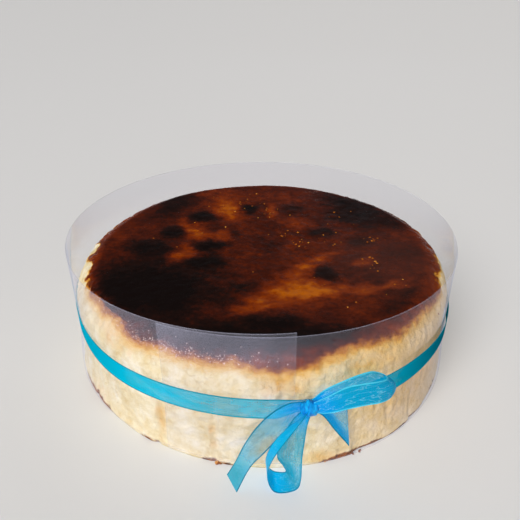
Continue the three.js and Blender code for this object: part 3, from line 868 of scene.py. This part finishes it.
def burnt_sugar_drop():
    """Burnt sugar that bubbled up and set: amber, glassy and smooth."""
    tones = ((0.35, "#5a260c"), (0.55, "#9c5716"), (0.7, "#d39a44"))
    return mottled("burnt_sugar_drop", (6, 6, 6), 2, tones, {"Roughness": 0.12, "IOR": 1.5})


def bead_with_painted_glint():
    """Syrup that wept from the edge and frothed: small wet beads, near white as a painted glint where they
    catch the light.
    """
    tones = ((0.35, "#d8ae9a"), (0.65, "#fdeee6"))
    return mottled("bead_with_painted_glint", (3, 3, 3), 2, tones, {"Roughness": 0.1, "IOR": 1.4})


def baked_crumb():
    """Crumbs of browned crust: dry and matt, from golden to dark caramel."""
    tones = ((0.35, "#5a3018"), (0.5, "#9a5c30"), (0.65, "#cc9a60"))
    return mottled("baked_crumb", (5, 5, 5), 3, tones, {"Roughness": 0.75})


def dress(piece, material, slot, *nodes):
    """Gives a piece its material and its place in the part."""
    piece.data.materials.clear()
    piece.data.materials.append(material)
    if nodes:
        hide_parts(*nodes)
    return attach(piece, "root")


# Pieces

def charred_swell(x, y):
    """How high the charred blisters stand at a place on the top."""
    height = 0
    for spot_x, spot_y, long, wide, _, strength in CHARRED_SPOTS:
        if max(long, wide) < BLISTER_LIMIT:
            away = math.hypot((x - spot_x) / long, (y - spot_y) / wide)
            height += BLISTER_RISE * strength * (1 - smooth(away, 0, 1))
    return height


def cake_copy():
    """A copy of the cake's solid, merged, remeshed fine and smoothed."""
    only(frame["nodes"]["cheesecake"])
    bpy.ops.object.duplicate()
    cake = called("burnt_cheesecake")
    bpy.ops.object.parent_clear(type="CLEAR_KEEP_TRANSFORM")
    bpy.ops.object.mode_set(mode="EDIT")
    bpy.ops.mesh.select_all(action="SELECT")
    bpy.ops.mesh.remove_doubles(threshold=1e-6)
    bpy.ops.object.mode_set(mode="OBJECT")
    cake.data.remesh_voxel_size = CAKE_CELL * MM
    bpy.ops.object.voxel_remesh()
    finish_with(cake, "SMOOTH", factor=0.5, iterations=4)
    return cake


def mark_zones(cake):
    """Vertex groups for the side, the edge and the top, which fade into each other by height."""
    weights = {
        "side": lambda z: smooth(z, 1, 4) * (1 - smooth(z, 56, 61)),
        "edge": lambda z: smooth(z, 52, 59) * (1 - smooth(z, 62.5, 65.5)),
        "top": lambda z: smooth(z, TOP_FROM, 62),
    }
    for name, weight in weights.items():
        group = cake.vertex_groups.new(name=name)
        for vertex in cake.data.vertices:
            group.add([vertex.index], weight(vertex.co.z / MM), "REPLACE")


def roughen(cake):
    """Lumps and pits in the side, crags on the edge and puckers in the top."""
    lumps = relief_texture("custard_lumps", "CLOUDS",
                           noise_scale=8 * MM, noise_depth=3, noise_type="HARD_NOISE")
    pits = relief_texture("custard_pits", "VORONOI", noise_scale=3.5 * MM, noise_intensity=1)
    crags = relief_texture("edge_crags", "CLOUDS", noise_scale=4.5 * MM, noise_depth=3)
    puckers = relief_texture("top_puckers", "CLOUDS", noise_scale=8 * MM, noise_depth=3)
    # Texture, zone, the level that stays put, and the height
    relief = (
        (lumps, "side", 0, -1.4),
        (pits, "side", 0, -0.4),
        (crags, "edge", 0.5, 2),
        (puckers, "top", 0.5, 0.3),
    )
    mark_zones(cake)
    for texture, group, middle, height in relief:
        finish_with(cake, "DISPLACE", texture=texture, texture_coords="LOCAL", vertex_group=group,
                    mid_level=middle, strength=height * MM)
    cake.vertex_groups.clear()


def swell_out(cake):
    """Raises the charred blisters and pushes the edge and the foot out."""
    for vertex in cake.data.vertices:
        x, y, z = vertex.co / MM
        if z > TOP_FROM:
            vertex.co.z += charred_swell(x, y) * MM
        radius = math.hypot(x, y)
        swell = edge_swell(math.degrees(math.atan2(x, -y)), radius, z)
        vertex.co.xy *= 1 + swell / max(radius, 1)


def flat_foot(cake):
    """Cuts the underside to one flat face on the floor."""
    only(cake)
    bpy.ops.object.mode_set(mode="EDIT")
    bpy.ops.mesh.select_all(action="SELECT")
    bpy.ops.mesh.bisect(plane_co=(0, 0, FOOT_CUT * MM), plane_no=(0, 0, 1), use_fill=True, clear_inner=True)
    bpy.ops.object.mode_set(mode="OBJECT")
    for vertex in cake.data.vertices:
        if vertex.co.z < (FOOT_CUT + FOOT_CUT_SLACK) * MM:
            vertex.co.z = 0


def cake_piece():
    """The cake: the solid's own form with wrinkles, blisters and a ragged edge."""
    cake = cake_copy()
    roughen(cake)
    swell_out(cake)
    flat_foot(cake)
    bpy.ops.object.shade_smooth()
    return dress(cake, baked_cheesecake(), "cheesecake", "cheesecake")


def film_piece():
    """The collar: one strip wound a little more than once round."""
    def place(share, across):
        angle = FILM_START_ANGLE + (360 + FILM_OVERLAP) * share
        lifted = FILM_START_LIFT * (1 - smooth(share, 0, FILM_START_SHARE))
        risen = FILM_RISE * smooth(share, FILM_RISE_SHARE, 1)
        height = FILM_FLOOR_GAP + lifted + risen + FILM_HEIGHT * across
        radius = film_radius(height) + bulge_at(angle, height) + FILM_SPIRAL * share + FILM_WALL / 2
        radius -= drawn_in(angle, FILM_DRAWN_IN) * smooth(height, FILM_DRAWN_FROM, FILM_DRAWN_TO)
        return polar(angle, radius, height)
    film = bent_strip("film_collar", FILM_STEPS, FILM_ROWS, place)
    give_wall(film, FILM_WALL)
    film.visible_shadow = False  # so clear a film throws no shadow that shows
    return dress(film, clear_film(), "acetate_film", "acetate_collar")


def band_piece(fabric):
    """The ribbon's band round the collar, gathered towards the knot."""
    knot_radius = BAND_OUTER_RADIUS + bulge_at(KNOT_ANGLE, BAND_HEIGHT)

    def place(share, across):
        along = 2 * math.pi * knot_radius * (share - 0.5)
        angle = KNOT_ANGLE + math.degrees(along / knot_radius)
        drawn = 1 - smooth(abs(along), BAND_GATHER_FROM, BAND_GATHER_TO)
        fold = BAND_FOLD * smooth(along, *BAND_FOLD_BEGINS) * (1 - smooth(along, *BAND_FOLD_ENDS))
        width = mix(RIBBON_WIDTH, BAND_GATHER_WIDTH, drawn) - fold
        middle = mix(BAND_HEIGHT, KNOT_HEIGHT, drawn) - fold / 2
        pleat = BAND_PLEAT_DEPTH * drawn * (1 + math.sin(across * BAND_PLEATS * math.tau))
        out = pleat - RIBBON_WALL / 2 - drawn_in(angle, BAND_DRAWN_IN)
        return from_band(along, out, middle + width * (across - 0.5))
    band = bent_strip("ribbon_band", BAND_STEPS, RIBBON_ROWS, place)
    give_wall(band, RIBBON_WALL)
    band.visible_shadow = False  # a sheer band close to the cake throws no shadow that shows
    band.visible_diffuse = False
    dress(band, fabric, "organza", "ribbon")
    line = [place(i / BAND_STEPS, 0.5) for i in range(BAND_STEPS + 1)]
    length = sum((end - start).length for start, end in zip(line, line[1:]))
    return band


def bow_length(name, stations, fabric, curl=0):
    """A free length of ribbon through its stations. Curl is how far its edges are drawn back at the bend,
    which takes up the middle half of it."""
    low = [from_band(*(Vector(at) - Vector(half))) for at, half in stations]
    high = [from_band(*(Vector(at) + Vector(half))) for at, half in stations]
    back = (from_band(0, 0, BAND_HEIGHT) - from_band(1, 0, BAND_HEIGHT)).normalized()

    def place(share, across):
        spot = along_curve(low, share).lerp(along_curve(high, share), across)
        bend = smooth(share, 0.25, 0.5) * (1 - smooth(share, 0.5, 0.75))
        return spot + back * curl * MM * bend * (2 * across - 1) ** 2
    strip = bent_strip(name, STATION_STEPS * (len(stations) - 1), RIBBON_ROWS, place)
    give_wall(strip, RIBBON_WALL)
    strip.visible_shadow = False
    dress(strip, fabric, "organza", "ribbon")
    return strip


def knot_piece(fabric):
    """The knot: a tight wrap of ribbon, pleated and pressed against the band."""
    pleat_depth, pleats, twist = 0.05, 9, 2.5
    lump_depth, lump_rate = 0.1, 2.3
    least_out = 0.1
    bpy.ops.object.select_all(action="DESELECT")
    bpy.ops.mesh.primitive_ico_sphere_add(subdivisions=5, radius=1)
    knot = called("bow_knot")
    for vertex in knot.data.vertices:
        x, y, z = vertex.co
        pleat = pleat_depth * math.sin(pleats * x + twist * math.sin(2 * y))
        swell = 1 + pleat + lump_depth * noise.noise(vertex.co * lump_rate)
        out = KNOT_OUT * (KNOT_BACK_SHARE + (1 - KNOT_BACK_SHARE) * z * swell)
        up = KNOT_HEIGHT + KNOT_UP * y * swell
        vertex.co = from_band(KNOT_ALONG * x * swell, max(out, least_out), up)
    bpy.ops.object.shade_smooth()
    return dress(knot, fabric, "organza", "ribbon")


def on_cake(cake, place, way):
    """The place where a line from a place that way meets the cake, and how the cake faces there."""
    return cake.ray_cast(place, way)[1:3]


def resting(spot, facing, size, draw):
    """A matrix that sets a unit ball of that size on a surface."""
    turn = facing.to_track_quat("Z", "Y").to_matrix().to_4x4()
    spin = Matrix.Rotation(draw.uniform(0, math.tau), 4, "Z")
    return Matrix.Translation(spot) @ turn @ spin @ Matrix.Diagonal((*(Vector(size) * MM), 1))


def blister_piece(cake):
    """Bubbles of burnt sugar that set on the top."""
    oval, flatness = (0.7, 1), 0.5
    draw = random.Random(5)
    matrices = []
    for x, y, spread, count in BUBBLE_GROUPS:
        for _ in range(count):
            place = Vector((draw.gauss(x, spread), draw.gauss(y, spread), 2 * CAKE_HEIGHT)) * MM
            spot, facing = on_cake(cake, place, Vector((0, 0, -1)))
            size = draw.uniform(*BUBBLE_SIZES)
            sizes = (size, size * draw.uniform(*oval), size * flatness)
            matrices.append(resting(spot, facing, sizes, draw))
    blisters = scatter("crust_blisters", lump("blister", 2, 3, 0.2), matrices)
    return dress(blisters, burnt_sugar_drop(), "cheesecake")


def bead_piece(cake):
    """Beads of syrup along the edge of the crust at the front."""
    flatness = 0.8
    draw = random.Random(8)
    matrices = []
    for _ in range(BEAD_COUNT):
        angle = draw.triangular(*BEAD_ANGLES)
        inwards = polar(angle, -1, -1).normalized()
        outside = polar(angle, BEAD_RING_RADIUS, BEAD_RING_HEIGHT + draw.gauss(0, BEAD_RING_SCATTER))
        spot, facing = on_cake(cake, outside, inwards)
        size = draw.triangular(*BEAD_SIZES)
        matrices.append(resting(spot, facing, (size, size, size * flatness), draw))
    beads = scatter("syrup_beads", lump("bead", 1, 1, 0.05), matrices)
    return dress(beads, bead_with_painted_glint(), "cheesecake")


def crumb_piece():
    """Crumbs that lie against the foot, under the film's lifted edge."""
    pressed_in, scatter_out, floor_room = 0.5, 0.3, 1.1
    draw = random.Random(21)
    matrices = []
    for first, last, count, size in CRUMB_GROUPS:
        for _ in range(count):
            angle = draw.uniform(first, last)
            big = size * draw.uniform(0.5, 1.4)
            tall = big * draw.uniform(0.5, 0.8)
            radius = CAKE_RADIUS + bulge_at(angle, 0) - pressed_in + big + abs(draw.gauss(0, scatter_out))
            spot = polar(angle, radius, tall * floor_room)
            matrices.append(resting(spot, Vector((0, 0, 1)), (big, big * draw.uniform(0.6, 1), tall), draw))
    crumbs = scatter("foot_crumbs", lump("crumb", 2, 7, 0.7), matrices)
    return dress(crumbs, baked_crumb(), "cheesecake")


# Studio

def floor_piece():
    """A plain pale floor."""
    metres_across = 14
    bpy.ops.object.select_all(action="DESELECT")
    bpy.ops.mesh.primitive_plane_add(size=metres_across)
    floor = called("floor")
    material, tree = new_material("pale_floor")[:2]
    surface = add(tree, "BsdfPrincipled", {"Base Color": linear("#d9dde4"), "Roughness": 0.7})
    floor.data.materials.append(finished(material, surface))


def soft_light(name, place, size, power, colour):
    """A small square lamp that shiny surfaces show."""
    bpy.ops.object.light_add(type="AREA", location=place)
    light = called(name)
    light.data.size = size
    light.data.energy = power
    light.data.color = linear(colour)[:3]
    light.rotation_euler = (-Vector(place)).to_track_quat("-Z", "Y").to_euler()


def daylight(name, way, strength, spread, colour):
    """Even soft light that shines one way, as from a bright sky; shiny surfaces don't show it."""
    bpy.ops.object.light_add(type="SUN")
    light = called(name)
    light.data.energy = strength
    light.data.angle = math.radians(spread)
    light.data.color = linear(colour)[:3]
    light.rotation_euler = Vector(way).to_track_quat("-Z", "Y").to_euler()
    light.visible_glossy = False


def studio():
    """Soft daylight from the left front, fills from the right front and from behind, and two small lamps
    whose shine shows on film and sugar."""
    scene = bpy.context.scene
    scene.view_settings.view_transform = "Standard"
    world = bpy.data.worlds.new("studio")
    world.use_nodes = True
    background = world.node_tree.nodes["Background"]
    background.inputs["Color"].default_value = linear("#e4e8ee")
    background.inputs["Strength"].default_value = 0.1
    scene.world = world
    daylight("daylight", (0.36, 0.7, -0.7), 3.6, 55, "#fff7ec")
    daylight("front_fill", (-0.45, 0.85, -0.25), 0.42, 60, "#ffffff")
    daylight("back_fill", (-0.35, -0.8, -0.2), 0.9, 60, "#fff6ea")
    soft_light("key", (-0.8, -1.0, 0.75), 0.25, 1.25, "#fff6ea")
    soft_light("window", (0.2, 1.2, 0.55), 0.3, 0.05, "#eaf1ff")


def photo_view():
    """The camera, at the photo's viewing angle."""
    bpy.ops.object.camera_add()
    view = called("photo_view")
    turn = Matrix.Rotation(math.radians(VIEW_TURN), 4, "Z")
    tilt = Matrix.Rotation(math.radians(90 - VIEW_TILT), 4, "X")
    roll = Matrix.Rotation(math.radians(VIEW_ROLL), 4, "Z")
    view.matrix_world = Matrix.Translation(Vector(VIEW_PLACE) * MM) @ turn @ tilt @ roll
    view.data.sensor_width = VIEW_SENSOR
    view.data.lens = VIEW_SENSOR * VIEW_FOCUS / VIEW_FRAME
    bpy.context.scene.camera = view


def tied_ribbon():
    """The ribbon's band, loops, tails and knot. Each is seen through by as much as its folds let it be."""
    # Each piece has its own yarn, selvedge and doubled tints, lighter or darker as painted light for how it
    # lies
    band = organza("stretched_organza", BAND_PATTERN_LENGTH, thread=0.06, uneven=0.16, yarn_and_painted_light="#05c6ee",
                   selvedge_and_painted_light="#06a0bc", gloss_and_painted_glint=0, layers=BAND_LAYERS_AND_PAINTED_SHADE, doubled_and_painted_light="#027a94")
    band_piece(band)
    # The right loop's pale cyan selvedge is a painted highlight where its edges catch the light
    right_loop = organza("looped_organza", LOOP_LENGTH, thread=0.52, uneven=0.2, yarn_and_painted_light="#00b0d8",
                         selvedge_and_painted_light="#5cdcf2", gloss_and_painted_glint=0.5, layers=RIGHT_LOOP_LAYERS, doubled_and_painted_light="#027a94")
    bow_length("bow_loop_right", RIGHT_LOOP, right_loop, RIGHT_LOOP_CURL)
    hanging_loop = organza("hanging_loop_organza", LOOP_LENGTH, thread=0.6, uneven=0.2, yarn_and_painted_light="#2aaac8",
                           selvedge_and_painted_light="#0498bc", gloss_and_painted_glint=0.3, layers=HANGING_LOOP_LAYERS_AND_PAINTED_LIGHT, doubled_and_painted_light="#00cef8")
    bow_length("bow_loop_hanging", HANGING_LOOP, hanging_loop)
    left_tail = organza("hanging_organza", LEFT_TAIL_LENGTH, thread=-0.02, uneven=0.08, yarn_and_painted_light="#3ccdf8",
                        selvedge_and_painted_light="#0488a8", gloss_and_painted_glint=0.1, layers=LEFT_TAIL_LAYERS, doubled_and_painted_light="#2c979e")
    bow_length("bow_tail_left", LEFT_TAIL, left_tail)
    right_tail = organza("folded_organza", RIGHT_TAIL_LENGTH, thread=-0.04, uneven=0.14, yarn_and_painted_light="#30bef2",
                         selvedge_and_painted_light="#0488a8", gloss_and_painted_glint=0.1, layers=RIGHT_TAIL_LAYERS, doubled_and_painted_light="#06a2e0")
    bow_length("bow_tail_right", RIGHT_TAIL, right_tail)
    knot_piece(knotted_organza())


def wrapped_cake():
    """All the pieces, from the cake outwards, and then the bubbles, beads and crumbs."""
    cake = cake_piece()
    film_piece()
    tied_ribbon()
    blister_piece(cake)
    bead_piece(cake)
    crumb_piece()


wrapped_cake()
floor_piece()
studio()
photo_view()
